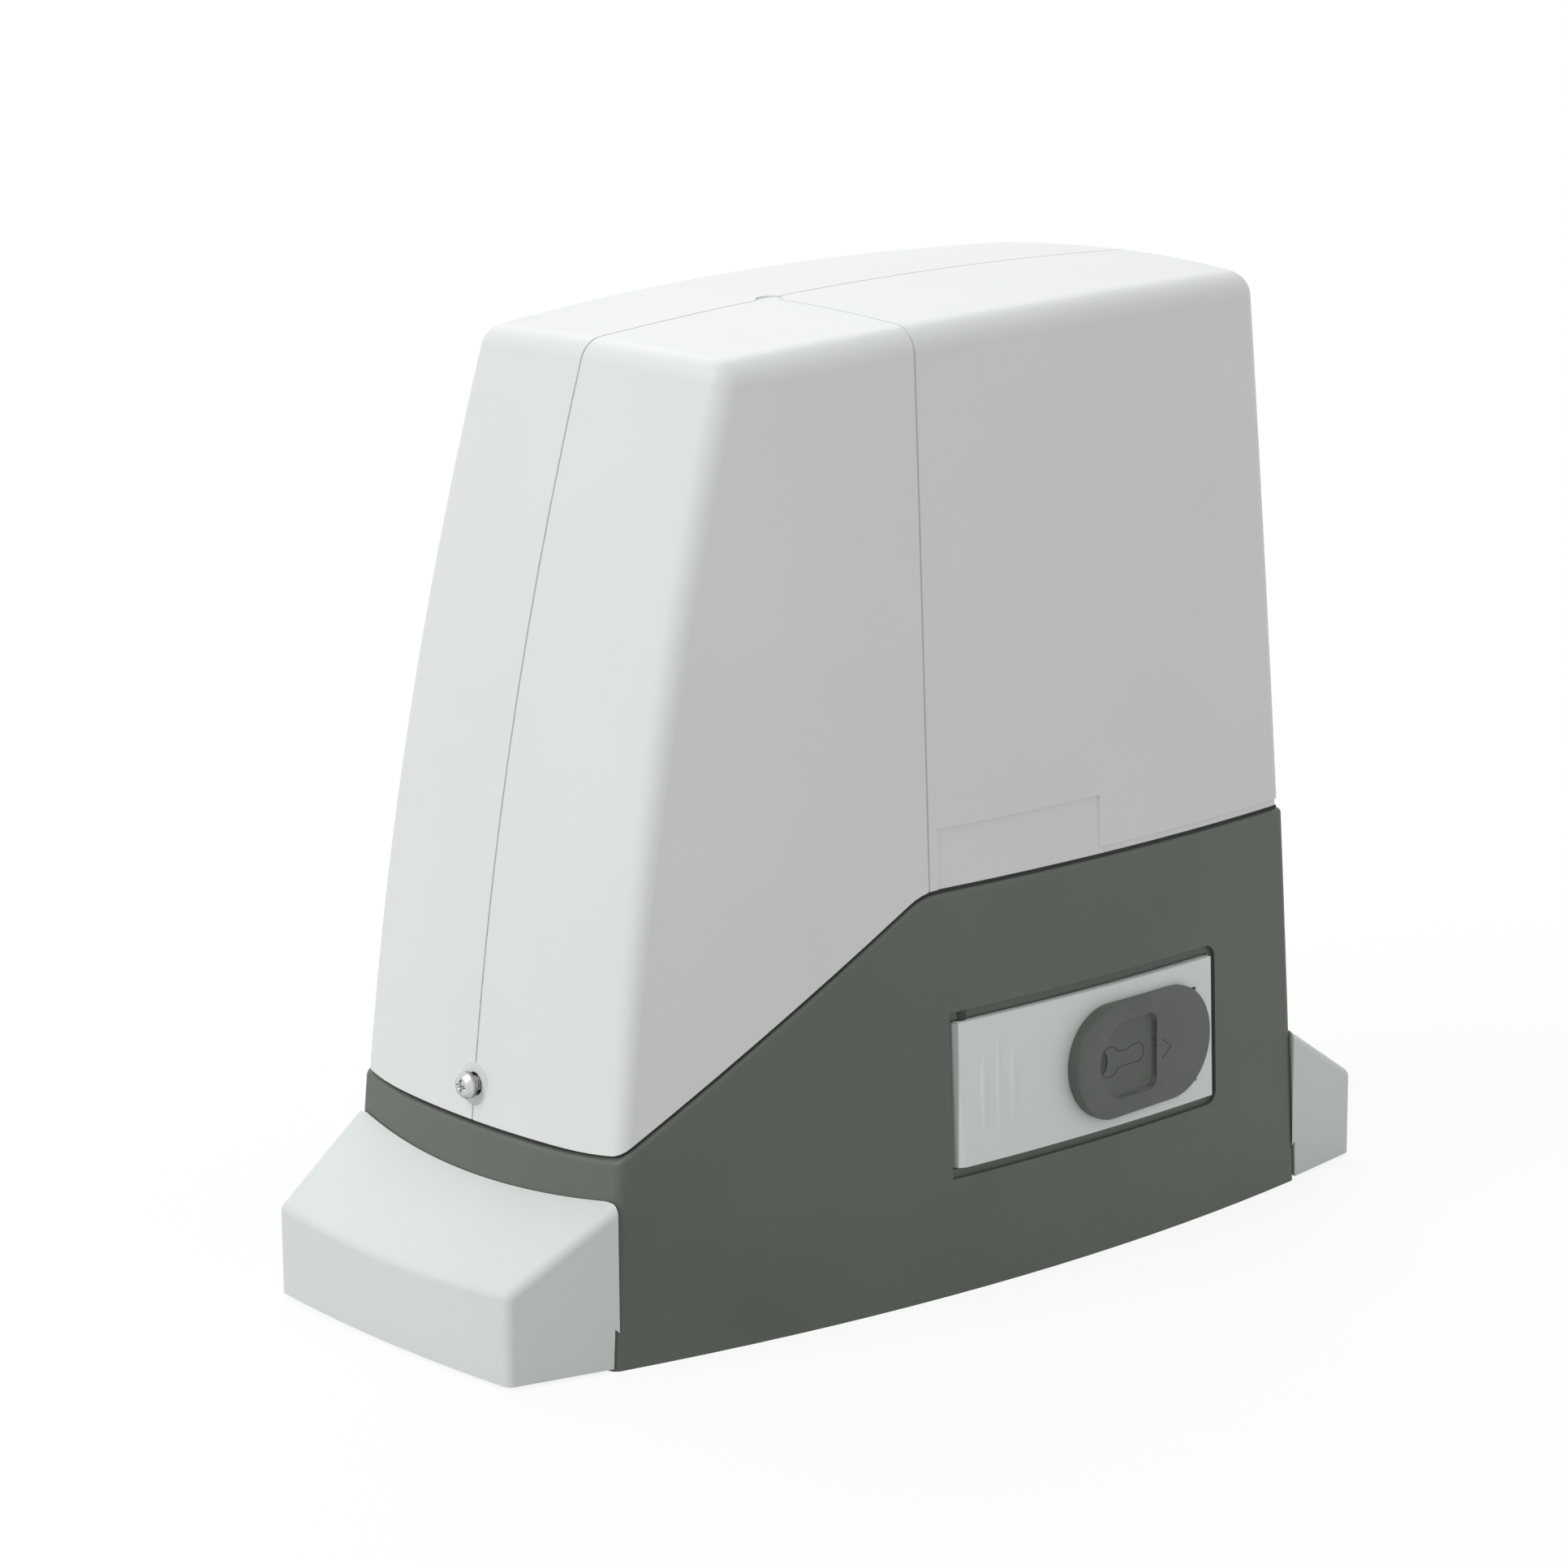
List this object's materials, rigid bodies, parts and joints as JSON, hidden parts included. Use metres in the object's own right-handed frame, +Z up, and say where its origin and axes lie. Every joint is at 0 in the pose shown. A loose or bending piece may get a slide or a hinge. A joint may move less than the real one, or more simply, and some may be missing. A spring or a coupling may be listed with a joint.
{
  "type": "sliding gate motor",
  "caption": "Sliding gate motor: bulged dark base casing with a key-locked release lever, lift-off light grey hood and foot covers, worm gearbox and rack pinion at the back.",
  "frame": {"origin": "on the ground, at the middle of the casing's underside", "axes": "+X along the length, seen from the release side to the right; -Y the release side, +Y the rack side; +Z up"},
  "size_m": [0.3334, 0.1883, 0.2826],
  "materials": {
    "hood_plastic": "light grey, fine satin texture",
    "cover_plastic": "light grey, satin",
    "casing_paint": "die-cast aluminium, dark grey satin paint",
    "lock_plastic": "dark grey, satin",
    "lever_plastic": "light grey, satin",
    "black_rubber": "soft matt rubber",
    "cast_alloy": "die-cast aluminium, as cast",
    "zinc_steel": "zinc plated steel",
    "plain_steel": "turned steel",
    "bearing_steel": "ground bearing steel",
    "bronze": "machined bronze",
    "core_steel": "stacked steel laminations",
    "copper_wire": "varnished copper wire",
    "board_green": "glass fibre board with solder mask",
    "black_plastic": "moulded black plastic",
    "white_plastic": "moulded white plastic",
    "blue_plastic": "moulded blue plastic",
    "board_green_terminal": "moulded green plastic"
  },
  "bodies": {
    "base": {"base_casing": "casing_paint", "hood_seal": "black_rubber", "cable_grommet": "black_rubber", "levelling_screws": "zinc_steel", "lever_hinge_pin": "plain_steel", "gearbox_housing": "cast_alloy", "gearbox_cover": "cast_alloy", "gearbox_cover_screws": "zinc_steel", "gearbox_bolts": "zinc_steel", "rear_bearing": "bearing_steel", "front_bearing": "bearing_steel", "worm_foot_bearing": "bearing_steel", "worm_neck_bearing": "bearing_steel", "motor_top_bearing": "bearing_steel", "shaft_seal": "black_rubber", "motor_lower_bell": "cast_alloy", "stator_core": "core_steel", "stator_windings": "copper_wire", "motor_upper_bell": "cast_alloy", "motor_tie_bolts": "zinc_steel", "control_bracket": "zinc_steel", "control_board": "board_green", "board_screws": "zinc_steel", "terminal_blocks": "board_green_terminal", "relays": "blue_plastic", "transformer": "black_plastic", "fuse_holder": "black_plastic", "capacitor": "white_plastic", "capacitor_clip": "black_plastic", "limit_sensor": "black_plastic"},
    "hood": {"hood": "hood_plastic", "hood_screws": "zinc_steel", "hood_screw_nuts": "zinc_steel"},
    "foot_cover_left": {"foot_cover_left": "cover_plastic"},
    "foot_cover_right": {"foot_cover_right": "cover_plastic"},
    "lever": {"release_lever": "lever_plastic", "lock_housing": "zinc_steel"},
    "lock_cover": {"lock_cover": "lock_plastic"},
    "lock_barrel": {"lock_cylinder": "bronze", "lock_cam": "zinc_steel"},
    "output": {"output_shaft": "plain_steel", "worm_wheel": "bronze", "drive_pinion": "zinc_steel", "pinion_key": "plain_steel", "pinion_washer": "zinc_steel", "pinion_bolt": "zinc_steel"},
    "rotor": {"worm_shaft": "plain_steel", "rotor_core": "core_steel"},
    "clutch": {"clutch_rod": "plain_steel", "clutch_pin": "plain_steel", "clutch_spring": "plain_steel"},
    "button": {"release_button": "black_plastic"}
  },
  "joints": [
    {"name": "hood_lift", "type": "slide", "parent": "base", "child": "hood", "axis": [0, 0, 1], "range_m": [0, 0.18]},
    {"name": "foot_cover_left_lift", "type": "slide", "parent": "base", "child": "foot_cover_left", "axis": [-0.6, 0, 0.8], "range_m": [0, 0.06]},
    {"name": "foot_cover_right_lift", "type": "slide", "parent": "base", "child": "foot_cover_right", "axis": [0.6, 0, 0.8], "range_m": [0, 0.06]},
    {"name": "lever_hinge", "type": "hinge", "parent": "base", "child": "lever", "pos_m": [-0.013, -0.068, 0.058], "axis": [0, 0, -1], "range_deg": [0, 90]},
    {"name": "lock_cover_slide", "type": "slide", "parent": "lever", "child": "lock_cover", "axis": [1, 0, 0], "range_m": [0, 0.022]},
    {"name": "lock_turn", "type": "hinge", "parent": "lever", "child": "lock_barrel", "pos_m": [0.038, -0.06, 0.0574], "axis": [0, 1, 0], "range_deg": [0, 90]},
    {"name": "motor_spin", "type": "hinge", "parent": "base", "child": "rotor", "pos_m": [0.04, 0.008, 0.1], "axis": [0, 0, 1], "continuous": true},
    {"name": "output_spin", "type": "hinge", "parent": "base", "child": "output", "pos_m": [0, 0, 0.058], "axis": [0, 1, 0], "continuous": true},
    {"name": "clutch_slide", "type": "slide", "parent": "output", "child": "clutch", "axis": [0, -1, 0], "range_m": [0, 0.007], "deforming": ["clutch_spring"]},
    {"name": "release_button_slide", "type": "slide", "parent": "base", "child": "button", "axis": [0, -1, 0], "range_m": [0, 0.007]}
  ],
  "couplings": [
    {"joint": "output_spin", "follows": "motor_spin", "ratio": 0.033333},
    {"joint": "clutch_slide", "follows": "lever_hinge", "m_per_rad": 0.0044559},
    {"joint": "release_button_slide", "follows": "lever_hinge", "m_per_rad": 0.0044559}
  ]
}
